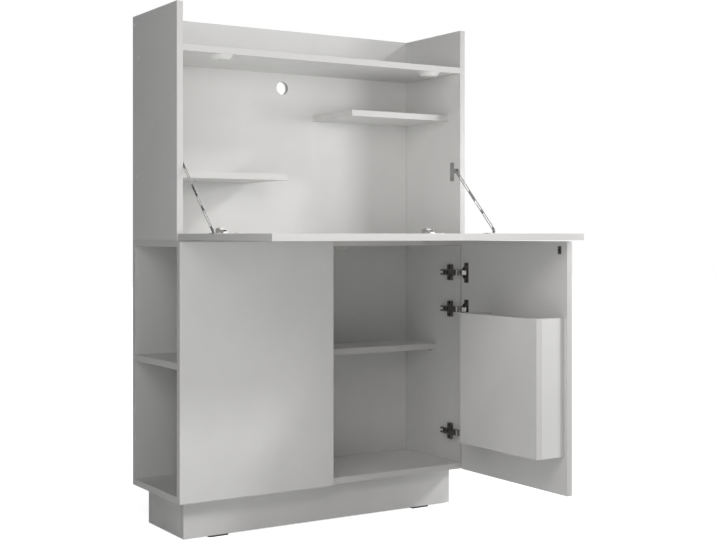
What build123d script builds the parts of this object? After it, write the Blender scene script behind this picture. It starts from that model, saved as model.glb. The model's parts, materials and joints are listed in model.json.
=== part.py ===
from build123d import *
import os
from math import atan2, cos, degrees, hypot, radians, sin, sqrt

# A floor-standing secretary cabinet with a fold-down writing flap. X runs along the front, Y to the back
# and Z up, in millimetres. While the parts are made, X is 0 at the middle of the cabinet, Y is 0 at the
# front edges of its boards and Z is 0 on the floor. The flap is down and the door stands open.

# Cabinet
width = 860.0
depth = 276.0
height = 1304.0
panel = 16.0  # thickness of every board
desk_height = 746.0  # top of the open flap and of the hutch floor
tray_depth = 102.0  # from the top of the sides down to the shelf that the closed flap reaches up to

# Plinth and glides
glide_height = 4.0
glide_length = 54.0
glide_from_side = 127.0
plinth_height = 96.0
plinth_recess = 31.0

# Fronts
front_gap = 2.0  # between a closed front and the cabinet
swing_gap = 7.0  # between an opened front's edge and the front edges of the boards
fixed_front_width = 428.0
door_gap = 3.0  # between the fixed front and the closed door
fronts_below_flap = 3.0

# Shelves
middle_shelf_top = 436.0
partition_inset = 4.0
cupboard_shelf_setback = 112.0
small_shelf_length = 316.0
small_shelf_setback = 55.0
upper_shelf_drop = 127.0  # of its top below the top shelf
lower_shelf_rise = 153.0  # of its top above the desk
shelf_play = 0.5
pin_radius = 2.5
pin_length = 16.0
pin_from_edge = 24.0
bore_play = 0.05

# Bin on the door
bin_depth = 90.0
bin_height = 342.0
bin_from_hinge_edge = 112.0
bin_from_bottom = 96.0
swing_clearance = 1.0  # between the swinging bin and the fixed front

# Back panel hole for cables
cable_hole_radius = 18.0
cable_hole_drop = 56.0  # below the top shelf

# Caps over the screws in the hutch sides
cap_radius = 6.0
cap_height = 0.8
cap_from_top = 20.0
cap_from_back = 37.0
cap_from_back_low = 28.0

# Concealed hinges
door_hinge_from_bottom = 99.0
door_hinges_from_top = (189.0, 88.0)
flap_hinge_from_side = 121.0
cup_radius = 13.0
cup_depth = 11.0
cup_wall = 1.2
cup_from_edge = 17.5
cup_pin_inset = 6.5
cup_pin_depth = 5.0
flange_length = 55.0
flange_far = 13.5  # from the cup's middle to the flange's straight edge
flange_near = (4.5, 15.5)  # from there to the near edge of its wings and of its middle
flange_flare = (19.0, 9.0)  # half widths where that edge starts and ends to slope
sheet = 1.2  # steel of the hinge's pressed parts
mount_thickness = 6.0
wing_span = (32.0, 52.0)  # front and back of the door mounts' wings, behind the board's front edge
wing_length = 44.0
saddle_span = (22.0, 60.0)
short_mount_span = (4.0, 24.0)  # of the flap's mounts, which have no wings
short_mount_width = 17.0
arm_width = 15.0
arm_height = 13.2
nose_height = 10.2  # of the part that goes into the cup
neck = 0.8  # where the arm gets lower, in front of the board's edge
arm_nose = 11.0  # reach in front of that edge
arm_rear = 79.0
short_arm_rear = 26.0
rear_slope = 4.0
fork_width = 7.5
fork_start = 66.0
arm_screws = (40.0, 54.0)  # the set screw and the clamp screw on its back
short_arm_screws = (9.0, 18.0)
arm_screw_radius = 3.4
arm_screw_height = 1.2
nose_chamfer = 3.5
hinge_pin_radius = 1.5
rivet_head = 0.6
pin_play = 0.05
steel_play = 0.3  # between steel parts that slide or turn beside each other
lever_width = 12.0
lever_thickness = 2.4

# Flap stays
stay_plate_height = 52.0
stay_plate_width = 17.0
stay_plate_front = 28.0
stay_sheet = 1.2
stay_pivot_depth = 14.0
stay_pivot_rise = 173.0  # above the desk
stay_arm_width = 13.0  # of the plate's forward arm to the pivot
stay_foot_front = 162.0
stay_foot_length = 27.0
stay_foot_width = 22.0
stay_ear_radius = 5.0
stay_rivet_reach = 155.0
stay_rivet_height = 8.0  # above the flap
stay_rivet_radius = 2.5
rail_width = 9.0
rail_thickness = 1.5
rail_edge = 2.2
rail_windows = ((0.05, 0.28), (0.34, 0.49), (0.65, 0.90))  # shares of the way to the pivot
guide_length = 14.0
guide_width = 11.0
guide_thickness = 1.2

# Push lights under the top shelf
light_from_left = 133.0
light_from_right = 98.0
light_setback = 32.0
light_radius = 30.0
light_mouth = 21.0  # radius of the case's lower end
light_height = 10.0
light_wall = 1.5
light_rounding = 2.5
lens_radius = 16.5
lens_flange = 2.4
lens_flange_thickness = 1.0
lens_play = 0.3
lens_bulge = 2.5

# Magnetic catch
catch_from_door_edge = 27.0
catch_length = 46.0
catch_width = 14.0
catch_height = 12.0
catch_lip = 0.8
catch_gap = 0.4  # between the magnet's lips and the closed door's strike plate
strike_width = 12.0
strike_height = 20.0
strike_thickness = 1.2
strike_drop = 22.0

# Places that follow from the sizes above
side = width / 2
inner = side - panel
base_low = glide_height + plinth_height
base_high = desk_height - panel
fronts_top = base_high - fronts_below_flap
top_shelf_height = height - tray_depth
upper_shelf_top = top_shelf_height - upper_shelf_drop
lower_shelf_top = desk_height + lower_shelf_rise
bin_low = base_low + bin_from_bottom
bin_high = bin_low + bin_height
door_hinge_heights = [base_low + door_hinge_from_bottom]
door_hinge_heights += [fronts_top - drop for drop in door_hinges_from_top]
back_face = depth - panel
fixed_edge = -side + fixed_front_width
door_width = width - fixed_front_width - door_gap
partition_right = fixed_edge - partition_inset
flap_length = top_shelf_height - base_high
flap_front = -swing_gap - flap_length
door_end = -swing_gap - door_width

# The front turns about a line this far in front of the boards, and this far inside their face.
axis_out = (front_gap + panel + swing_gap) / 2
axis_in = axis_out - front_gap
door_axis_x = inner + axis_in
flap_axis_z = desk_height - axis_in

# The outer end of the bin follows from its swing past the fixed front.
bin_swing = door_axis_x - fixed_edge - swing_clearance
bin_end = -axis_out - sqrt(bin_swing**2 - (bin_depth - front_gap + axis_out) ** 2)
bin_start = -swing_gap - bin_from_hinge_edge

# Rivet of the stay on the flap, with the flap down, and the pivot on the side.
stay_pivot_height = desk_height + stay_pivot_rise
rivet_y = -stay_rivet_reach
rivet_z = desk_height + stay_rivet_height
rail_reach = hypot(stay_pivot_depth - rivet_y, stay_pivot_height - rivet_z)
rail_slope = degrees(atan2(stay_pivot_height - rivet_z, stay_pivot_depth - rivet_y))
guide_inside = stay_sheet + steel_play
rail_inside = guide_inside + guide_thickness + steel_play

# The open part is centred front to back on what it covers.
front_reach = -min(flap_front, door_end)
shift = (front_reach - depth) / 2


def board(x, y, z):
    """A straight board between pairs of limits."""
    centre = [(low + high) / 2 for low, high in (x, y, z)]
    size = [high - low for low, high in (x, y, z)]
    return Pos(*centre) * Box(*size)


def rod(point, direction, radius, length):
    """A round rod about its middle point."""
    return Plane(origin=point, z_dir=direction) * Cylinder(radius, length)


def cap_places():
    """Side, depth and height of each screw cap on the hutch sides."""
    places = []
    for hand, low_shelf in ((-1, lower_shelf_top), (1, upper_shelf_top)):
        places.append((hand, depth - panel / 2, height - cap_from_top))
        places.append((hand, depth - cap_from_back, top_shelf_height - panel / 2))
        places.append((hand, depth - cap_from_back_low, low_shelf - panel / 2))
    return places


def screw_cap(hand, y, z):
    """A thin disc over a screw head."""
    return rod((hand * (side + cap_height / 2), y, z), (1, 0, 0), cap_radius, cap_height)


def shelf_pin_places():
    """Side and depth of the four pins under the cupboard shelf."""
    front = cupboard_shelf_setback + pin_from_edge
    rear = back_face - pin_from_edge
    return [(x, y) for x in (partition_right, inner) for y in (front, rear)]


def shelf_pin(x, y, play=0.0):
    """A pin that stands half in its board under the shelf."""
    z = middle_shelf_top - panel - pin_radius
    return rod((x, y, z), (1, 0, 0), pin_radius + play, pin_length + play)


# The hinge is drawn in its own frame: x = 0 is the face that it lies on, -x the open side, y = 0 the
# front edge of the fixed board and +y the way into the cabinet.
cup_y = -swing_gap - cup_from_edge
cup_pin_x, cup_pin_y = cup_pin_depth, cup_y + cup_radius - cup_pin_inset
lever_knee = (-4.0, cup_pin_y + 3.0)
nose_pin_x, nose_pin_y = -3.2, -7.0


def hinge_mount(short):
    """The plate that carries the arm, with wings on the door's hinges, and the saddle in the arm."""
    span, width = (short_mount_span, short_mount_width) if short else (wing_span, wing_length)
    plate = board((-mount_thickness, 0), span, (-width / 2, width / 2))
    plate = fillet(plate.edges().filter_by(Axis.X), 3)
    half_width = arm_width / 2 - sheet - steel_play
    top = arm_height - sheet - steel_play
    saddle_front, saddle_rear = saddle_span
    if short:
        saddle_front, saddle_rear = span[0], span[1] - rear_slope
    saddle = board((-top, 0), (saddle_front, saddle_rear), (-half_width, half_width))
    saddle = fillet(saddle.edges().filter_by(Axis.Z).group_by(Axis.X)[0], 2)
    return plate + saddle


def arm_profile(short, inset):
    """Side outline of the arm; with an inset, that of the room inside it, open to the cup and the board."""
    rear = (short_arm_rear if short else arm_rear) - inset
    plate_front = (short_mount_span if short else wing_span)[0] - steel_play
    nose = -arm_nose - 4 * inset
    top, nose_top = -arm_height + inset, -nose_height + inset
    slope = arm_height - nose_height
    low, nose_low = (1.0, 1.0) if inset else (-mount_thickness - steel_play, -2.0)
    points = [
        (nose_low, nose),
        (nose_top + nose_chamfer, nose),
        (nose_top, nose + nose_chamfer),
        (nose_top, -neck),
        (top, -neck + slope),
        (top, rear - rear_slope),
        (low, rear),
        (low, plate_front),
        (nose_low, plate_front - 4),
    ]
    return make_face(Polyline(*points, close=True))


def hinge_arm(short):
    """The pressed channel that reaches from the saddle forward to the cup, with its two set screws."""
    arm = extrude(arm_profile(short, 0), arm_width / 2, both=True)
    arm -= extrude(arm_profile(short, sheet), arm_width / 2 - sheet, both=True)
    if not short:
        arm -= board((-2 * arm_height, 0), (fork_start, 2 * arm_rear), (-fork_width / 2, fork_width / 2))
        arm -= rod((-arm_height, fork_start, 0), (1, 0, 0), fork_width / 2, arm_height)
    for y in short_arm_screws if short else arm_screws:
        middle = -arm_height - arm_screw_height / 2 + sheet / 4
        arm += rod((middle, y, 0), (1, 0, 0), arm_screw_radius, arm_screw_height + sheet / 2)
    inner_end = lever_width / 2 + steel_play
    outer_end = arm_width / 2 + rivet_head
    for hand in (-1, 1):
        z = hand * (inner_end + outer_end) / 2
        arm += rod((nose_pin_x, nose_pin_y, z), (0, 0, 1), hinge_pin_radius, outer_end - inner_end)
    return arm


def flange_outline():
    """The cup's flange: a straight far edge, two wings, and a near edge that slopes out between them."""
    far, (wing, tip), (start, end) = flange_far, flange_near, flange_flare
    half = flange_length / 2
    side_points = [(-far, half), (wing, half), (wing, start), (tip, end)]
    points = side_points + [(y, -z) for y, z in reversed(side_points)]
    outline = make_face(Polyline(*points, close=True))
    return fillet(outline.vertices(), 2)


def hinge_cup():
    """The cup sunk in the front, with its winged flange and the pin across it."""
    face = Plane(origin=(0, cup_y, 0), x_dir=(0, 1, 0), z_dir=(-1, 0, 0))
    cup = face * extrude(flange_outline(), sheet)
    cup += rod((cup_depth / 2, cup_y, 0), (1, 0, 0), cup_radius, cup_depth)
    low, high = -2 * sheet, cup_depth - cup_wall
    cup -= rod(((low + high) / 2, cup_y, 0), (1, 0, 0), cup_radius - cup_wall, high - low)
    far_edge = cup_pin_y - cup_y + hinge_pin_radius
    reach = sqrt((cup_radius - cup_wall / 4) ** 2 - far_edge**2)
    return cup + rod((cup_pin_x, cup_pin_y, 0), (0, 0, 1), hinge_pin_radius, 2 * reach)


def hinge_lever():
    """The cranked lever between the cup's pin and the arm's nose."""
    path = Polyline((cup_pin_x, cup_pin_y), lever_knee, (nose_pin_x, nose_pin_y))
    strap = offset(path, lever_thickness / 2, kind=Kind.ARC, side=Side.BOTH)
    strap = make_face(strap.edges())
    strap += Pos(cup_pin_x, cup_pin_y) * Circle(2.3)
    lever = extrude(strap, lever_width / 2, both=True)
    return lever - rod((cup_pin_x, cup_pin_y, 0), (0, 0, 1), hinge_pin_radius + pin_play, lever_width + 2)


def cup_bore():
    """The round recess that the cup stands in."""
    return rod((cup_depth / 2, cup_y, 0), (1, 0, 0), cup_radius + bore_play, cup_depth + 0.4)


def door_frames():
    """Hinge frames on the right side, from the bottom up."""
    return [Plane(origin=(inner, 0, z), x_dir=(1, 0, 0), z_dir=(0, 0, 1)) for z in door_hinge_heights]


def flap_frames():
    """Hinge frames on the hutch floor, left and right."""
    places = (-side + flap_hinge_from_side, side - flap_hinge_from_side)
    return [Plane(origin=(x, 0, desk_height), x_dir=(0, 0, -1), z_dir=(1, 0, 0)) for x in places]


def stay_plate():
    """Plate on the hutch side with a forward arm and the pin that the guide turns on, left hand."""
    middle_y = stay_plate_front + stay_plate_width / 2
    outline = Pos(middle_y, stay_pivot_height - 2) * RectangleRounded(stay_plate_width, stay_plate_height, 3)
    arm_length = middle_y - stay_pivot_depth
    outline += Pos(middle_y - arm_length / 2, stay_pivot_height) * Rectangle(arm_length, stay_arm_width)
    outline += Pos(stay_pivot_depth, stay_pivot_height) * Circle(stay_arm_width / 2)
    face = Plane(origin=(-inner, 0, 0), x_dir=(0, 1, 0), z_dir=(1, 0, 0))
    plate = face * extrude(outline, stay_sheet)
    reach = guide_inside + guide_thickness
    pin = (-inner + reach / 2, stay_pivot_depth, stay_pivot_height)
    return plate + rod(pin, (1, 0, 0), stay_rivet_radius, reach)


def along_rail(x):
    """Frame at the rivet, x along the rail towards the guide, z into the cabinet."""
    direction = (0, cos(radians(rail_slope)), sin(radians(rail_slope)))
    return Plane(origin=(x, rivet_y, rivet_z), x_dir=direction, z_dir=(1, 0, 0))


def stay_guide():
    """The slide on the side plate's pin that the rail runs along, left hand."""
    slide = extrude(SlotOverall(guide_length, guide_width), guide_thickness)
    slide -= Cylinder(stay_rivet_radius + pin_play, 4 * guide_thickness)
    return along_rail(-inner + guide_inside) * Pos(rail_reach, 0, 0) * slide


def stay_rail():
    """The slotted flat rail: windows between solid bridges, an eye at each end, left hand."""
    length = rail_reach + rail_width
    strip = SlotOverall(length, rail_width)
    strip = Pos(length / 2 - rail_width / 2, 0) * strip
    for start, end in rail_windows:
        window = SlotOverall((end - start) * rail_reach, rail_width - 2 * rail_edge)
        strip -= Pos((start + end) / 2 * rail_reach, 0) * window
    for place in (0, rail_reach):
        strip -= Pos(place, 0) * Circle(stay_rivet_radius + pin_play)
    return along_rail(-inner + rail_inside) * extrude(strip, rail_thickness)


def stay_foot():
    """Bracket on the flap: a screwed plate, an upright ear and the rivet, left hand."""
    ear_x = -inner + rail_inside + rail_thickness + steel_play
    y = (-stay_foot_front, -stay_foot_front + stay_foot_length)
    plate = board((ear_x, ear_x + stay_foot_width), y, (desk_height, desk_height + stay_sheet))
    plate = fillet(plate.edges().filter_by(Axis.Z).group_by(Axis.X)[-1], 3)
    ear = Pos(rivet_y, rivet_z) * Circle(stay_ear_radius)
    ear += Pos(rivet_y, (rivet_z + desk_height) / 2) * Rectangle(2 * stay_ear_radius, stay_rivet_height)
    ear = Plane(origin=(ear_x, 0, 0), x_dir=(0, 1, 0), z_dir=(1, 0, 0)) * extrude(ear, stay_sheet)
    reach = rail_thickness + 2 * steel_play + stay_sheet
    rivet = rod((ear_x + stay_sheet - reach / 2, rivet_y, rivet_z), (1, 0, 0), stay_rivet_radius, reach)
    return plate + ear + rivet


def light_frames():
    """Frames at the lights' middles on the underside of the top shelf, z pointing down."""
    z = top_shelf_height - panel
    places = (-side + light_from_left, side - light_from_right)
    return [Plane(origin=(x, light_setback, z), x_dir=(1, 0, 0), z_dir=(0, 0, -1)) for x in places]


def light_housing():
    """Bowl-shaped case with an opening for the lens in its lower end."""
    up = (Align.CENTER, Align.CENTER, Align.MIN)
    outside = Cone(light_radius, light_mouth, light_height, align=up)
    outside = fillet(outside.edges().group_by(Axis.Z)[-1], light_rounding)
    room = light_height - 2 * light_wall
    inside = Pos(0, 0, light_wall + room / 2) * Cylinder(lens_radius + lens_flange + lens_play, room)
    mouth = Pos(0, 0, light_height) * Cylinder(lens_radius + lens_play, 4 * light_wall)
    return outside - inside - mouth


def light_lens():
    """Domed push lens with the flange that keeps it in the case."""
    seat = light_height - light_wall
    up = (Align.CENTER, Align.CENTER, Align.MIN)
    thickness = lens_flange_thickness
    flange = Cylinder(lens_radius + lens_flange, thickness, align=up)
    flange = Pos(0, 0, seat - thickness - bore_play) * flange
    drum = Pos(0, 0, seat - thickness) * Cylinder(lens_radius, thickness + light_wall, align=up)
    dome_radius = (lens_radius**2 + lens_bulge**2) / (2 * lens_bulge)
    ball = Pos(0, 0, light_height + lens_bulge - dome_radius) * Sphere(dome_radius)
    keep = Pos(0, 0, light_height) * Cylinder(lens_radius, lens_bulge, align=up)
    return flange + drum + (ball & keep)


def catch_place():
    """X of the magnetic catch, where the closed door's strike plate meets it."""
    return side - door_width + catch_from_door_edge


def catch():
    """Magnetic catch under the base's top board: a case with the magnet's lips in front."""
    x, top = catch_place(), base_high - panel
    lip_front = -front_gap + strike_thickness + catch_gap
    front = lip_front + catch_lip
    case = board((x - catch_length / 2, x + catch_length / 2), (front, front + catch_width),
                 (top - catch_height, top))
    case = fillet(case.edges().filter_by(Axis.Z), 3)
    reach = 0.3 * catch_length
    z = (top - 0.75 * catch_height, top - 0.25 * catch_height)
    return case + board((x - reach, x + reach), (lip_front, front + catch_lip), z)


def strike():
    """Strike plate on the open door's inner face."""
    middle_y = door_end + catch_from_door_edge
    middle_z = fronts_top - strike_drop
    face = Plane(origin=(inner, middle_y, middle_z), x_dir=(0, 1, 0), z_dir=(-1, 0, 0))
    return face * extrude(RectangleRounded(strike_width, strike_height, 1), strike_thickness)


def glides():
    """Four flat pads under the plinth's front and back boards."""
    pads = []
    for x in (-side + glide_from_side, side - glide_from_side):
        for y in (plinth_recess + panel / 2, depth - plinth_recess - panel / 2):
            pad = extrude(RectangleRounded(glide_length, panel, panel * 0.3), glide_height)
            pads.append(Pos(x, y, 0) * pad)
    return pads


def cabinet_boards():
    """Every fixed board of the cabinet, before drilling."""
    shelf = (middle_shelf_top - panel, middle_shelf_top)
    between = (base_low + panel, base_high - panel)
    plinth = (glide_height, base_low)
    end = side - plinth_recess
    plinth_back = depth - plinth_recess
    boards = {
        "plinth_front": board((-end, end), (plinth_recess, plinth_recess + panel), plinth),
        "plinth_back": board((-end, end), (plinth_back - panel, plinth_back), plinth),
        "base_bottom": board((-side, side), (0, depth), (base_low, base_low + panel)),
        "base_top": board((-side, side), (0, depth), (base_high - panel, base_high)),
        "base_right_side": board((inner, side), (0, depth), between),
        "base_partition": board((partition_right - panel, partition_right), (0, back_face), between),
        "base_back": board((-side, inner), (back_face, depth), between),
        "fixed_front": board((-side, fixed_edge), (-panel, 0), (base_low, fronts_top)),
        "niche_shelf": board((-side, partition_right - panel), (0, back_face), shelf),
        "cupboard_shelf": board(
            (partition_right + shelf_play, inner - shelf_play),
            (cupboard_shelf_setback, back_face - shelf_play),
            shelf,
        ),
        "hutch_floor": board((-inner, inner), (0, back_face), (base_high, desk_height)),
        "hutch_top_shelf": board(
            (-inner, inner), (0, back_face), (top_shelf_height - panel, top_shelf_height)
        ),
        "lower_left_shelf": board(
            (-inner, -inner + small_shelf_length),
            (small_shelf_setback, back_face),
            (lower_shelf_top - panel, lower_shelf_top),
        ),
        "upper_right_shelf": board(
            (inner - small_shelf_length, inner),
            (small_shelf_setback, back_face),
            (upper_shelf_top - panel, upper_shelf_top),
        ),
    }
    for name, hand in (("left", -1), ("right", 1)):
        x = sorted((hand * end, hand * (end - panel)))
        boards[f"plinth_{name}"] = board(x, (plinth_recess + panel, plinth_back - panel), plinth)
        x = sorted((hand * inner, hand * side))
        boards[f"hutch_{name}_side"] = board(x, (0, depth), (base_high, height))
    back = board((-inner, inner), (back_face, depth), (base_high, height))
    hole_middle = (0, depth, top_shelf_height - cable_hole_drop)
    back -= rod(hole_middle, (0, 1, 0), cable_hole_radius, 4 * panel)
    boards["hutch_back"] = back
    return boards


def bin_boards():
    """The open-topped box on the door's inner face, with the door open."""
    face = inner - bin_depth
    room = (face + panel, inner)
    z = (bin_low, bin_high)
    return {
        "bin_front": board((face, face + panel), (bin_end, bin_start), z),
        "bin_outer_end": board(room, (bin_end, bin_end + panel), z),
        "bin_hinge_end": board(room, (bin_start - panel, bin_start), z),
        "bin_bottom": board(room, (bin_end + panel, bin_start - panel), (bin_low, bin_low + panel)),
    }


def build():
    """Every sub-part by name, in the cabinet's own place."""
    parts = cabinet_boards()
    pin_bores = [shelf_pin(*place, play=bore_play) for place in shelf_pin_places()]
    for name in ("base_right_side", "base_partition"):
        parts[name] -= pin_bores
    parts["glides"] = glides()
    parts["screw_caps"] = [screw_cap(*place) for place in cap_places()]
    parts["shelf_pins"] = [shelf_pin(*place) for place in shelf_pin_places()]
    parts["magnetic_catch"] = catch()

    flap = board((-side, side), (flap_front, -swing_gap), (base_high, desk_height))
    parts["flap_panel"] = flap - [frame * cup_bore() for frame in flap_frames()]
    door = board((inner, side), (door_end, -swing_gap), (base_low, fronts_top))
    parts["door_panel"] = door - [frame * cup_bore() for frame in door_frames()]
    parts.update(bin_boards())
    parts["strike_plate"] = strike()
    for front, short, frames in (("door", False, door_frames()), ("flap", True, flap_frames())):
        parts[f"{front}_hinge_mounts"] = [frame * hinge_mount(short) for frame in frames]
        parts[f"{front}_hinge_arms"] = [frame * hinge_arm(short) for frame in frames]
        parts[f"{front}_hinge_cups"] = [frame * hinge_cup() for frame in frames]
        parts[f"{front}_hinge_levers"] = [frame * hinge_lever() for frame in frames]
    for name, shape in (
        ("stay_side_plate", stay_plate()),
        ("stay_guide", stay_guide()),
        ("stay_rail", stay_rail()),
        ("stay_flap_bracket", stay_foot()),
    ):
        parts[f"{name}_left"] = shape
        parts[f"{name}_right"] = mirror(shape, about=Plane.YZ)
    for name, frame in zip(("left", "right"), light_frames()):
        parts[f"light_housing_{name}"] = frame * light_housing()
        parts[f"light_lens_{name}"] = frame * light_lens()
    return parts


def write(parts):
    """One STEP file for each sub-part, in the part's own frame."""
    os.makedirs("parts", exist_ok=True)
    for name, shape in parts.items():
        solids = shape if isinstance(shape, list) else [shape]
        moved = [Pos(0, shift, 0) * solid for solid in solids]
        whole = moved[0] if len(moved) == 1 else Compound(children=moved)
        export_step(whole, f"parts/{name}.step")


write(build())
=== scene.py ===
import json
import math

import bpy
import numpy as np
from mathutils import Matrix, Vector


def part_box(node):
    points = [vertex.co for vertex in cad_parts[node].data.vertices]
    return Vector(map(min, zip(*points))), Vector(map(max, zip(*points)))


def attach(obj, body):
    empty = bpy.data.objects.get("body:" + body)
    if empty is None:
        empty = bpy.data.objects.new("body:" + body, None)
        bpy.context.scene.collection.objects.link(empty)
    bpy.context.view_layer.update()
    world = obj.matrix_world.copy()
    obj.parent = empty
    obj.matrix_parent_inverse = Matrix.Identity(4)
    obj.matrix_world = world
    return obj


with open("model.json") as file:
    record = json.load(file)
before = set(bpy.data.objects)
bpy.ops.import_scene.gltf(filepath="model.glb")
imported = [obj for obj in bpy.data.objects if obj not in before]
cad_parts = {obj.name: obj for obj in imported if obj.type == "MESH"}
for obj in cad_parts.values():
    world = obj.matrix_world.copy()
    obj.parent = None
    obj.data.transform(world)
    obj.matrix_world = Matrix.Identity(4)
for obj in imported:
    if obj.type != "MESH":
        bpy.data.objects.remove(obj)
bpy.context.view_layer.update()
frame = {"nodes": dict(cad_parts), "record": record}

# A white secretary cabinet of melamine faced chipboard: a base on a plinth, a hutch with a fold-down flap,
# and a door that carries a bin. Everything is in metres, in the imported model's frame.

MM = 0.001
IMAGE_WIDTH, IMAGE_HEIGHT = 716, 540
NODES = frame["nodes"]
BODIES = frame["record"]["behaviour"]["bodies"]


def node_body(node):
    """The body that a node belongs to."""
    return next(body for body, members in BODIES.items() if node in members)


# ---------------------------------------------------------------- materials


def linear(hex_colour):
    """sRGB hex to a linear colour: each channel through the sRGB curve, with alpha 1."""
    channels = [int(hex_colour[i : i + 2], 16) / 255 for i in (1, 3, 5)]
    curve = [c / 12.92 if c <= 0.04045 else ((c + 0.055) / 1.055) ** 2.4 for c in channels]
    return (*curve, 1.0)


def fill(tree, node, inputs):
    """Sets a node's inputs, by name or number, and links those whose value is a socket."""
    for name, value in inputs.items():
        if isinstance(value, bpy.types.NodeSocket):
            tree.links.new(value, node.inputs[name])
        else:
            node.inputs[name].default_value = value


def add(tree, kind, inputs, output=0, **settings):
    """Adds a shader node with its settings and inputs, and gives back one of its outputs."""
    node = tree.nodes.new("ShaderNode" + kind)
    for name, value in settings.items():
        setattr(node, name, value)
    fill(tree, node, inputs)
    return node.outputs[output]


def new_material(name, **uniform):
    """A material with one Principled shader, its uniform values set on the shader's own sockets."""
    material = bpy.data.materials.new(name)
    material.use_nodes = True
    shader = material.node_tree.nodes["Principled BSDF"]
    fill(material.node_tree, shader, {socket.replace("_", " "): value for socket, value in uniform.items()})
    return material, material.node_tree, shader


def mottle(tree, place, size, low=0.0, high=1.0, detail=2.0, roughness=0.5, contrast=0.15):
    """A value that wanders from low to high in lumps about size metres across.

    It is noise, 0.5 on average, carried from 0.5 - contrast .. 0.5 + contrast to low .. high.
    """
    lumps = {"Vector": place, "Scale": 1 / size, "Detail": detail, "Roughness": roughness}
    source = {"Value": add(tree, "TexNoise", lumps), "From Min": 0.5 - contrast, "From Max": 0.5 + contrast}
    return add(tree, "MapRange", {**source, "To Min": low, "To Max": high})


FACE_WHITE, FACE_SHADE = linear("#e6e6e5"), linear("#e2e2e1")
# The edging's grey is partly its own tone and partly painted shade: darker than the faces, to hold down the
# light on the front edges.
BAND_TONE_AND_PAINTED_SHADE, GLUE_LINE = linear("#d6d5d4"), linear("#aeaba5")
CHIP_LIGHT, CHIP_DARK = linear("#c9ab7e"), linear("#8a6743")
BAND_THICKNESS = 0.8 * MM
BAND_GLOSS = 0.07  # how much less rough the edging is than the faces
GLUE_PLACE = BAND_THICKNESS * 1.15
GLUE_HALF_WIDTH = 0.12 * MM
GLUE_SHOW = 0.55  # the share of the glue's colour that shows
CLOUD_SIZE = 160 * MM
SHEEN_SIZE = 38 * MM
FACE_ROUGHNESS = (0.40, 0.52)
PEARL_SIZE = 1.2 * MM  # three times the real grain of 0.4 mm, so that it shows
PEARL_DEPTH = 0.035 * MM
CHIP_SIZE = 3.2 * MM
FLAKE_SIZE = 1.6 * MM
PORE_DEPTH = 0.28 * MM
CHIP_ROUGHNESS = 0.85


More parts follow.
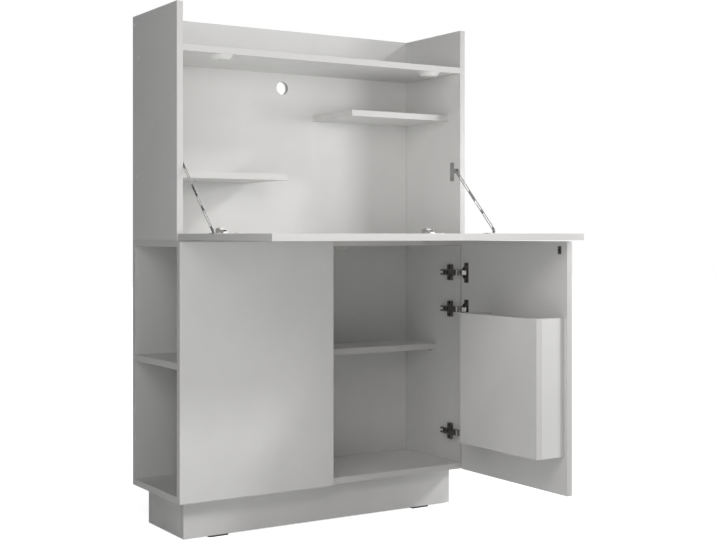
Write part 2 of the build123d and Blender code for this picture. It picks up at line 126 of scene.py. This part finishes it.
def melamine_board(node, raw_back):
    """Melamine faced chipboard, pressed against a fine matt plate, with ABS edging glued on.

    To the eye: an even white with a soft matt sheen and a fine pearl grain, faint clouds of tone from the
    press, a hairline of glue 0.8 mm in from every banded edge, and edges that are glossier and a little
    greyer, the grey partly their own tone and partly painted shade. An edge against the wall is left unbanded
    and shows the pressed chips.
    """
    low, high = (np.array(corner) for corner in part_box(node))
    centre, half = (low + high) / 2, (high - low) / 2
    thin = int(np.argmin(half))
    name = f"melamine_faced_chipboard.{node}"
    material, tree, shader = new_material(name, IOR=1.5, Specular_IOR_Level=0.4)
    shift = {"Vector": add(tree, "TexCoord", {}, "Object"), "Location": tuple(-centre)}
    place = add(tree, "Mapping", shift)
    along = add(tree, "SeparateXYZ", {0: place}).node.outputs
    facing = add(tree, "SeparateXYZ", {0: add(tree, "NewGeometry", {}, "True Normal")}).node.outputs
    flatness = add(tree, "Math", {0: facing[thin]}, operation="ABSOLUTE")
    on_face = add(tree, "Math", {0: flatness, 1: 0.5}, operation="GREATER_THAN")

    # Distance from the nearest banded border, on the two wide faces.
    rims = []
    for axis in [number for number in range(3) if number != thin]:
        reach = add(tree, "Math", {0: along[axis]}, operation="ABSOLUTE")
        rims.append(add(tree, "Math", {0: float(half[axis]), 1: reach}, operation="SUBTRACT"))
    rim = add(tree, "Math", dict(enumerate(rims)), operation="MINIMUM")
    border = {"Value": rim, "From Min": BAND_THICKNESS * 0.9, "From Max": BAND_THICKNESS * 1.1}
    inside = add(tree, "MapRange", border)
    core = add(tree, "Math", {0: on_face, 1: inside}, operation="MULTIPLY")
    seam = add(tree, "Math", {0: rim, 1: GLUE_PLACE, 2: GLUE_HALF_WIDTH}, operation="COMPARE")
    glue = add(tree, "Math", {0: on_face, 1: seam}, operation="MULTIPLY")
    glue = add(tree, "Math", {0: glue, 1: GLUE_SHOW}, operation="MULTIPLY")

    # Clouds of tone a hand wide, fine pearl grain, and sheen that wanders.
    clouds = mottle(tree, place, CLOUD_SIZE, detail=3.0)
    pearl = mottle(tree, place, PEARL_SIZE, detail=1.0, contrast=0.5)
    rough = mottle(tree, place, SHEEN_SIZE, *FACE_ROUGHNESS, detail=4.0, roughness=0.65, contrast=0.175)
    face = add(tree, "Mix", {0: clouds, 6: FACE_WHITE, 7: FACE_SHADE}, 2, data_type="RGBA")
    # Outside the core the edging's colour, its grey partly painted shade.
    colour = add(tree, "Mix", {0: core, 6: BAND_TONE_AND_PAINTED_SHADE, 7: face}, 2, data_type="RGBA")
    colour = add(tree, "Mix", {0: glue, 6: colour, 7: GLUE_LINE}, 2, data_type="RGBA")
    gloss = add(tree, "MapRange", {"Value": core, "To Min": BAND_GLOSS, "To Max": 0.0})
    rough = add(tree, "Math", {0: rough, 1: gloss}, operation="SUBTRACT")
    relief = add(tree, "Math", {0: pearl, 1: core}, operation="MULTIPLY")

    if raw_back and thin != 1:
        # On the edge at the back: pressed chips 2 to 5 mm long with dark pores between them.
        backward = add(tree, "Math", {0: facing[1], 1: 0.5}, operation="GREATER_THAN")
        cells = {"Vector": place, "Scale": 1 / CHIP_SIZE, "Randomness": 1.0}
        cell_tone = add(tree, "SeparateColor", {0: add(tree, "TexVoronoi", cells, "Color")})
        flakes = mottle(tree, place, FLAKE_SIZE, detail=3.0, roughness=0.6, contrast=0.5)
        tone = add(tree, "Math", {0: cell_tone, 1: flakes}, operation="MULTIPLY")
        tone = add(tree, "MapRange", {"Value": tone, "From Min": 0.05, "From Max": 0.5})
        chip = add(tree, "Mix", {0: tone, 6: CHIP_DARK, 7: CHIP_LIGHT}, 2, data_type="RGBA")
        colour = add(tree, "Mix", {0: backward, 6: colour, 7: chip}, 2, data_type="RGBA")
        dull = add(tree, "Math", {0: backward, 1: CHIP_ROUGHNESS}, operation="MULTIPLY")
        rough = add(tree, "Math", {0: rough, 1: dull}, operation="MAXIMUM")
        pores = add(tree, "Math", {0: backward, 1: flakes}, operation="MULTIPLY")
        steps = {0: pores, 1: PORE_DEPTH / PEARL_DEPTH, 2: relief}
        relief = add(tree, "Math", steps, operation="MULTIPLY_ADD")

    normal = add(tree, "Bump", {"Height": relief, "Distance": PEARL_DEPTH, "Strength": 1.0})
    fill(tree, shader, {"Base Color": colour, "Roughness": rough, "Normal": normal})
    return material


FLOW_SIZE, TOUCH_SIZE, TOUCH_ROUGH = 14 * MM, 6 * MM, 0.06


def moulded_plastic(name, light, dark, rough, grain, depth, **uniform):
    """Injection moulded plastic: even colour, fine spark-eroded grain, faint flow clouds and handling marks.

    To the eye: a soft satin skin, smoother where fingers touch it, with hardly any colour change.
    """
    material, tree, shader = new_material(name, **uniform)
    place = add(tree, "TexCoord", {}, "Object")
    clouds = mottle(tree, place, FLOW_SIZE)
    colour = add(tree, "Mix", {0: clouds, 6: linear(light), 7: linear(dark)}, 2, data_type="RGBA")
    span = (rough - TOUCH_ROUGH, rough + TOUCH_ROUGH)
    marks = mottle(tree, place, TOUCH_SIZE, *span, detail=4.0, roughness=0.6)
    skin = mottle(tree, place, grain, contrast=0.5)
    normal = add(tree, "Bump", {"Height": skin, "Distance": depth, "Strength": 1.0})
    fill(tree, shader, {"Base Color": colour, "Roughness": marks, "Normal": normal})
    return material


DRAWN_OUT = 0.12  # scale of the place along a draw mark, which is so about 8 times as long as wide
WORN_SIZE, WORN_ROUGH = 5 * MM, 0.1
MARK_DEPTH = 0.01 * MM


def pressed_steel(name, light, dark, rough, streak):
    """Pressed steel with a plated coat: barrelled finish with fine draw marks from front to back.

    To the eye: a metal sheen broken by fine streaks, duller patches from handling, colour nearly even.
    """
    material, tree, shader = new_material(name, Metallic=1.0)
    place = add(tree, "TexCoord", {}, "Object")
    drawn = add(tree, "Mapping", {"Vector": place, "Scale": (1.0, DRAWN_OUT, 1.0)})
    streaks = mottle(tree, drawn, streak, detail=3.0, contrast=0.5)
    patches = mottle(tree, place, WORN_SIZE, detail=3.0, roughness=0.6, contrast=0.2)
    colour = add(tree, "Mix", {0: patches, 6: linear(light), 7: linear(dark)}, 2, data_type="RGBA")
    worn = add(tree, "Math", {0: streaks, 1: patches}, operation="ADD")
    span = {"To Min": rough - WORN_ROUGH, "To Max": rough + WORN_ROUGH}
    wear = add(tree, "MapRange", {"Value": worn, "From Min": 0.7, "From Max": 1.3, **span})
    normal = add(tree, "Bump", {"Height": streaks, "Distance": MARK_DEPTH, "Strength": 1.0})
    fill(tree, shader, {"Base Color": colour, "Roughness": wear, "Normal": normal})
    return material


# Black nickel on pressed steel: a smoky grey half mirror, worn only slightly.
dark_steel = pressed_steel("black_nickel_plated_steel_pressed", "#807e7b", "#686663", 0.38, 0.5 * MM)
# Satin nickel on pressed steel: pale grey, half matt with a fine orange peel.
nickel_steel = pressed_steel("satin_nickel_plated_steel_pressed", "#bcbbba", "#b1b0af", 0.52, 0.6 * MM)
# Bright nickel on the door hinges' levers, tumbled to a soft shine: near white, paler than nickel is, so the
# colour is partly painted highlight.
lever_nickel_with_painted_highlight = pressed_steel("bright_nickel_plated_steel_pressed_with_painted_highlight", "#f2f1ee", "#e9e8e4", 0.42, 0.6 * MM)
# Zinc on punched steel strip: neutral grey, half matt, with draw marks along the strip.
zinc_steel = pressed_steel("zinc_plated_steel_strip_punched", "#b2b2b1", "#9a9b9b", 0.28, 0.7 * MM)
# Turned and plated screws: brighter than the sheet around them.
screw_steel = pressed_steel("zinc_plated_steel_cold_headed", "#a3a29f", "#8c8a86", 0.3, 0.5 * MM)
# The same in black nickel: darker than the sheet around them.
black_screw = pressed_steel("black_nickel_plated_steel_cold_headed", "#4a4845", "#383633", 0.32, 0.5 * MM)
# Moulded polyethylene pads: dark grey, dull, scuffed by the floor.
black_plastic = moulded_plastic(
    "polyethylene_moulded_black", "#2b2b2c", "#222223", 0.62, 0.5 * MM, 0.03 * MM, IOR=1.5,
)
# Moulded ABS caps and light cases: a cleaner white than the boards, a touch glossier.
white_plastic = moulded_plastic(
    "abs_moulded_white", "#f0f0ee", "#ebebe9", 0.34, 0.6 * MM, 0.012 * MM, IOR=1.53,
)
# Moulded acetal case: pale grey-white, waxy.
catch_plastic = moulded_plastic(
    "acetal_moulded_grey", "#b9b7b2", "#aeaca7", 0.4, 0.6 * MM, 0.012 * MM, IOR=1.48,
)
# Milky polycarbonate dome: light spreads inside it, glossy skin.
lens_plastic = moulded_plastic(
    "polycarbonate_moulded_milky", "#eeeeec", "#e8e8e6", 0.22, 0.8 * MM, 0.006 * MM,
    IOR=1.585, Subsurface_Weight=0.35, Subsurface_Scale=0.004, Coat_Weight=0.25,
)


# ---------------------------------------------------------------- finishes of the CAD nodes

BOARD_NODES = [
    "plinth_front", "plinth_back", "plinth_left", "plinth_right",
    "base_bottom", "base_top", "base_right_side", "base_partition", "base_back", "fixed_front",
    "niche_shelf", "cupboard_shelf", "hutch_left_side", "hutch_right_side", "hutch_floor", "hutch_back",
    "hutch_top_shelf", "upper_right_shelf", "lower_left_shelf", "flap_panel", "door_panel",
    "bin_front", "bin_outer_end", "bin_hinge_end", "bin_bottom",
]
RAW_BACKS = ("base_bottom", "base_top", "hutch_left_side", "hutch_right_side", "base_right_side")
WELD_REACH = 0.01 * MM
ROUNDED_FROM = math.radians(35)
BOARD_EDGE, STEEL_EDGE = 0.5 * MM, 0.15 * MM


def finish_node(node, material, width):
    """Gives a node its material, closes its loose triangles and rounds its edges by width."""
    piece = NODES[node]
    piece.data.materials.clear()
    piece.data.materials.append(material)
    weld = piece.modifiers.new("weld", "WELD")
    weld.merge_threshold = WELD_REACH
    soften = piece.modifiers.new("soften", "BEVEL")
    soften.width = width
    soften.segments = 2
    soften.limit_method = "ANGLE"
    soften.angle_limit = ROUNDED_FROM
    soften.harden_normals = True


for board in BOARD_NODES:
    finish_node(board, melamine_board(board, board in RAW_BACKS), BOARD_EDGE)

# Each node's material, and how far its edges are rounded.
FINISHES = {
    "glides": (black_plastic, 0.4 * MM),
    "shelf_pins": (zinc_steel, 0.3 * MM),
    "screw_caps": (white_plastic, 0.25 * MM),
    "magnetic_catch": (catch_plastic, 0.4 * MM),
    "strike_plate": (dark_steel, 0.2 * MM),
    "door_hinge_mounts": (dark_steel, STEEL_EDGE),
    "door_hinge_arms": (dark_steel, STEEL_EDGE),
    "door_hinge_cups": (dark_steel, STEEL_EDGE),
    # The levers' near-white steel is partly painted highlight.
    "door_hinge_levers": (lever_nickel_with_painted_highlight, STEEL_EDGE),
    "flap_hinge_mounts": (nickel_steel, STEEL_EDGE),
    "flap_hinge_arms": (nickel_steel, STEEL_EDGE),
    "flap_hinge_cups": (nickel_steel, STEEL_EDGE),
    "flap_hinge_levers": (nickel_steel, STEEL_EDGE),
}
for hand in ("left", "right"):
    for stay in ("stay_side_plate", "stay_guide", "stay_rail", "stay_flap_bracket"):
        FINISHES[f"{stay}_{hand}"] = (zinc_steel, 0.2 * MM)
    FINISHES[f"light_housing_{hand}"] = (white_plastic, 0.3 * MM)
    FINISHES[f"light_lens_{hand}"] = (lens_plastic, 0.3 * MM)
for node, (material, width) in FINISHES.items():
    finish_node(node, material, width)


# ---------------------------------------------------------------- screws and rivets

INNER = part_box("base_right_side")[0].x
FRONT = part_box("base_top")[0].y
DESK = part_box("flap_panel")[1].z
DOOR_HINGE_HEIGHTS = (199 * MM, 538 * MM, 639 * MM)
FLAP_HINGE_SIDE = 309 * MM
SHEET = 1.2 * MM
ROOT = 0.1 * MM  # how deep a head stands in the sheet
spins = np.random.default_rng(11)


def on_door_hinges(out, back, across):
    """Seats on the three door hinges: so far out from the board, behind its front edge and to both sides."""
    spots = [h + sign * across for h in DOOR_HINGE_HEIGHTS for sign in ((-1, 1) if across else (1,))]
    return [((INNER - out, FRONT + back, h), (-1, 0, 0)) for h in spots]


def on_flap_hinges(out, back, across):
    """Seats on the two flap hinges, measured as on the door's."""
    middles = (-FLAP_HINGE_SIDE, FLAP_HINGE_SIDE)
    spots = [x + sign * across for x in middles for sign in ((-1, 1) if across else (1,))]
    return [((x, FRONT + back, DESK + out), (0, 0, 1)) for x in spots]


def heads(name, node, seats, head, material, crossed=True):
    """Domed heads in one piece, one at each seat: a point and the direction that it faces.

    Over the share s of the radius the dome stands height * sqrt(1 - 0.85 s^2) high. A cross recess takes
    0.85 of the height away where the smaller of |u| and |v| is under 0.2 and the larger under 0.66, with
    sloping walls. A skirt goes 0.1 mm into the sheet, and both poles are closed.
    """
    radius, height = head
    spokes, rings = (48, 18) if crossed else (28, 7)
    around = np.arange(spokes) * 2 * math.pi / spokes
    s, a = np.meshgrid(np.linspace(0, 1, rings + 1)[1:], around, indexing="ij")
    u, v = s * np.cos(a), s * np.sin(a)
    rise = np.sqrt(1 - 0.85 * s**2)
    if crossed:
        narrow, wide = np.minimum(abs(u), abs(v)), np.maximum(abs(u), abs(v))
        walls = np.clip((0.2 - narrow) / 0.07, 0, 1) * np.clip((0.66 - wide) / 0.2, 0, 1)
        rise = rise - 0.85 * walls
    shell = np.stack([radius * u, radius * v, height * rise], axis=-1).reshape(-1, 3)
    skirt = np.stack([radius * u[-1], radius * v[-1], np.full(spokes, -ROOT)], axis=-1)
    poles = [[0, 0, height * (0.15 if crossed else 1.0)], [0, 0, -ROOT]]
    one = np.concatenate([shell, skirt, poles])
    ring, spoke = np.meshgrid(np.arange(rings), np.arange(spokes), indexing="ij")
    start, following = ring * spokes + spoke, ring * spokes + (spoke + 1) % spokes
    quads = np.stack([start, start + spokes, following + spokes, following], axis=-1).reshape(-1, 4)
    first, after = np.arange(spokes), (np.arange(spokes) + 1) % spokes
    last = rings * spokes
    top = np.stack([np.full(spokes, last + spokes), first, after], axis=-1)
    under = np.stack([np.full(spokes, last + spokes + 1), last + after, last + first], axis=-1)

    points, faces = [], []
    for place, facing in seats:
        out = Vector(facing)
        turn = out.to_track_quat("Z", "Y").to_matrix() @ Matrix.Rotation(spins.uniform(0, math.pi), 3, "Z")
        base = len(one) * len(points)
        points.append(one @ np.array(turn).T + np.array(place))
        for part in (quads, top, under):
            faces.extend((part + base).tolist())
    mesh = bpy.data.meshes.new(name)
    mesh.from_pydata(np.concatenate(points).tolist(), [], faces)
    mesh.polygons.foreach_set("use_smooth", [True] * len(mesh.polygons))
    mesh.materials.append(material)
    piece = bpy.data.objects.new(name, mesh)
    bpy.context.scene.collection.objects.link(piece)
    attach(piece, node_body(node))


# Radius and height of each kind of head.
CUP_HEAD, MOUNT_HEAD, ARM_HEAD = (3.4 * MM, 1.3 * MM), (3.6 * MM, 1.4 * MM), (3.3 * MM, 0.9 * MM)
STAY_HEAD, RIVET_HEAD, STRIKE_HEAD = (3.2 * MM, 1.2 * MM), (4 * MM, 1.3 * MM), (2.8 * MM, 0.3 * MM)

# Places along a hinge are measured from the front edges of the boards.
CUP_SCREWS, CUP_SCREWS_APART = -29 * MM, 22.5 * MM
MOUNT_SCREWS, MOUNT_SCREWS_APART, MOUNT_WING_TOP = 42 * MM, 15.5 * MM, 6 * MM
ARM_SCREWS, SHORT_ARM_SCREWS, ARM_SCREW_TOP = (40 * MM, 54 * MM), (9 * MM, 18 * MM), 14.4 * MM
seats = on_door_hinges(SHEET, CUP_SCREWS, CUP_SCREWS_APART)
heads("door_cup_screws", "door_hinge_cups", seats, CUP_HEAD, black_screw)
seats = on_door_hinges(MOUNT_WING_TOP, MOUNT_SCREWS, MOUNT_SCREWS_APART)
heads("door_mount_screws", "door_hinge_mounts", seats, MOUNT_HEAD, black_screw)
seats = [seat for back in ARM_SCREWS for seat in on_door_hinges(ARM_SCREW_TOP, back, 0)]
heads("door_arm_screws", "door_hinge_arms", seats, ARM_HEAD, black_screw)
seats = on_flap_hinges(SHEET, CUP_SCREWS, CUP_SCREWS_APART)
heads("flap_cup_screws", "flap_hinge_cups", seats, CUP_HEAD, nickel_steel)
seats = [seat for back in SHORT_ARM_SCREWS for seat in on_flap_hinges(ARM_SCREW_TOP, back, 0)]
heads("flap_arm_screws", "flap_hinge_arms", seats, ARM_HEAD, nickel_steel)

PLATE_SCREWS, PLATE_SCREW_RISE = 36.5 * MM, 18 * MM
FOOT_SCREW_SHIFT, FOOT_SCREW_REACH = 2 * MM, 7 * MM
RIVET_OFF_SIDE, RIVET_PLACE, RIVET_ABOVE_DESK = 6 * MM, -155 * MM, 8 * MM
for hand, sign in (("left", -1), ("right", 1)):
    plate, bracket = f"stay_side_plate_{hand}", f"stay_flap_bracket_{hand}"
    plate_low, plate_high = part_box(plate)
    foot_low, foot_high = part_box(bracket)
    inward, up = (-sign, 0, 0), (0, 0, 1)
    middle = (plate_low.z + plate_high.z) / 2
    rises = (middle - PLATE_SCREW_RISE, middle + PLATE_SCREW_RISE)
    seats = [((sign * (INNER - SHEET), FRONT + PLATE_SCREWS, rise), inward) for rise in rises]
    heads(f"stay_plate_screws_{hand}", plate, seats, STAY_HEAD, screw_steel)
    foot = (foot_low + foot_high) / 2
    across, reaches = foot.x - sign * FOOT_SCREW_SHIFT, (-FOOT_SCREW_REACH, FOOT_SCREW_REACH)
    seats = [((across, foot.y + along, DESK + SHEET), up) for along in reaches]
    heads(f"stay_foot_screws_{hand}", bracket, seats, STAY_HEAD, screw_steel)
    seats = [((sign * (INNER - RIVET_OFF_SIDE), FRONT + RIVET_PLACE, DESK + RIVET_ABOVE_DESK), inward)]
    heads(f"stay_rivet_{hand}", bracket, seats, RIVET_HEAD, screw_steel, crossed=False)

strike_low, strike_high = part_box("strike_plate")
strike_middle = (strike_low + strike_high) / 2
seats = [((strike_low.x, strike_middle.y, strike_middle.z), (-1, 0, 0))]
heads("strike_screw", "strike_plate", seats, STRIKE_HEAD, black_screw)


# ---------------------------------------------------------------- stage, lights and camera

FLOOR_PAINT = linear("#e7e7e7")
FLOOR_LIFT = 0.88
FLOOR_REACH = 14.0
FLOOR_GRAIN, FLOOR_GRAIN_DEPTH = 4 * MM, 0.02 * MM
FULL_WHITE = (1, 1, 1, 1)


def background_ray(tree):
    """1 on the rays that show the background: from the camera, in gloss and through clear pieces."""
    path = add(tree, "LightPath", {}, "Is Camera Ray").node.outputs
    seen = add(tree, "Math", {0: path["Is Camera Ray"], 1: path["Is Glossy Ray"]}, operation="MAXIMUM")
    return add(tree, "Math", {0: seen, 1: path["Is Transmission Ray"]}, operation="MAXIMUM")


def floor_material():
    """Pale matt floor. It shows as plain white to the camera, in gloss and through glass, less the shadow.

    What those rays see is the light that the floor sends back, raised to white, so the shadow stays.
    """
    material, tree, shader = new_material(
        "floor_paint_matt", Base_Color=FLOOR_PAINT, Roughness=0.9, Emission_Color=FULL_WHITE,
    )
    grain = mottle(tree, add(tree, "TexCoord", {}, "Object"), FLOOR_GRAIN, contrast=0.5)
    normal = add(tree, "Bump", {"Height": grain, "Distance": FLOOR_GRAIN_DEPTH, "Strength": 1.0})
    lift = add(tree, "MapRange", {"Value": background_ray(tree), "To Max": FLOOR_LIFT})
    fill(tree, shader, {"Normal": normal, "Emission Strength": lift})
    return material


def stage_sheet(name, corners, material):
    """A flat sheet of the studio."""
    mesh = bpy.data.meshes.new(name)
    mesh.from_pydata(corners, [], [(0, 1, 2, 3)])
    mesh.materials.append(material)
    sheet = bpy.data.objects.new(name, mesh)
    bpy.context.scene.collection.objects.link(sheet)
    return sheet


corners = [(x * FLOOR_REACH, y * FLOOR_REACH, 0) for x, y in ((-1, -1), (1, -1), (1, 1), (-1, 1))]
stage_sheet("floor", corners, floor_material())

# A black card at the left, behind the cabinet, as photographers use to give pale metal dark reflections.
# Nothing but gloss shows it: it takes no light from the object.
CARD_SIDE, CARD_FRONT, CARD_BACK, CARD_HEIGHT = -1.5, -0.6, 3.0, 2.2
outline = ((CARD_FRONT, 0), (CARD_BACK, 0), (CARD_BACK, CARD_HEIGHT), (CARD_FRONT, CARD_HEIGHT))
felt = new_material("felt_black", Base_Color=linear("#202020"), Roughness=1.0)[0]
card = stage_sheet("black_card", [(CARD_SIDE, y, z) for y, z in outline], felt)
card.visible_camera = card.visible_diffuse = card.visible_transmission = card.visible_shadow = False

world = bpy.data.worlds.new("studio")
bpy.context.scene.world = world
world.use_nodes = True
shown = {"Strength": background_ray(world.node_tree), "Color": FULL_WHITE}
fill(world.node_tree, world.node_tree.nodes["Background"], shown)


def aim(lamp, place, towards):
    """Puts a lamp in the scene at place, shining towards a point."""
    placed = bpy.data.objects.new(lamp.name, lamp)
    placed.location = place
    placed.rotation_euler = (Vector(place) - Vector(towards)).to_track_quat("Z", "Y").to_euler()
    placed.visible_camera = False
    bpy.context.scene.collection.objects.link(placed)


def sun(name, azimuth, elevation, strength, spread):
    """A soft distant lamp: azimuth in degrees from the front towards the right, elevation above the floor."""
    lamp = bpy.data.lights.new(name, "SUN")
    lamp.energy = strength
    lamp.angle = math.radians(spread)
    around, up = math.radians(azimuth), math.radians(elevation)
    aim(lamp, (math.sin(around) * math.cos(up), -math.cos(around) * math.cos(up), math.sin(up)), (0, 0, 0))


def softbox(name, size, watts, place, towards, colour=(1, 1, 1)):
    """A square diffuser of that size at place, facing a point."""
    lamp = bpy.data.lights.new(name, "AREA")
    lamp.energy = watts
    lamp.color = colour
    lamp.shape = "SQUARE"
    lamp.size = size
    aim(lamp, place, towards)


MIDDLE = (0, 0, 0.95)
WARM_WHITE = linear("#fff9f5")[:3]
softbox("left_high", 0.9, 5.00, (-1.30, -1.19, 1.70), MIDDLE)
softbox("left", 0.9, 4.55, (-1.30, -1.19, 1.00), MIDDLE)
softbox("left_low", 0.5, 0.80, (-1.50, -0.70, 0.60), (0.4, 0, 0.6))
softbox("right_low", 0.9, 1.08, (1.47, -0.95, 0.35), MIDDLE)
softbox("overhead", 0.6, 0.75, (0.30, 0.20, 2.00), (0, 0.1, 1.0))
softbox("near_front", 0.35, 2.34, (-0.38, -1.00, 1.15), (0.43, -0.1, 1.0), WARM_WHITE)
softbox("near_flap", 0.3, 0.34, (0.15, -0.50, 1.00), (-0.35, 0.1, 0.9))
softbox("near_right", 0.25, 2.68, (0.88, -0.62, 1.00), (0, 0, 0.7))
sun("key", 54, 28, 0.866, 8)
sun("high_right", 56, 65, 0.758, 14)
sun("low_right", 40, 5, 0.192, 14)

FOCAL_PIXELS = 1252.26
HORIZON_ROW = 233.99
CAMERA_PLACE = (-1.660, -2.6615, 0.745)
CAMERA_HEADING = math.radians(32.23)  # from straight at the front, towards the right
LEVEL = math.radians(90)
camera = bpy.data.cameras.new("camera")
camera.sensor_width = 36.0
camera.lens = camera.sensor_width * FOCAL_PIXELS / IMAGE_WIDTH
camera.shift_y = (HORIZON_ROW - IMAGE_HEIGHT / 2) / IMAGE_WIDTH
viewer = bpy.data.objects.new("camera", camera)
viewer.location = CAMERA_PLACE
viewer.rotation_euler = (LEVEL, 0, -CAMERA_HEADING)
bpy.context.scene.collection.objects.link(viewer)
bpy.context.scene.camera = viewer

bpy.context.scene.view_settings.view_transform = "Standard"
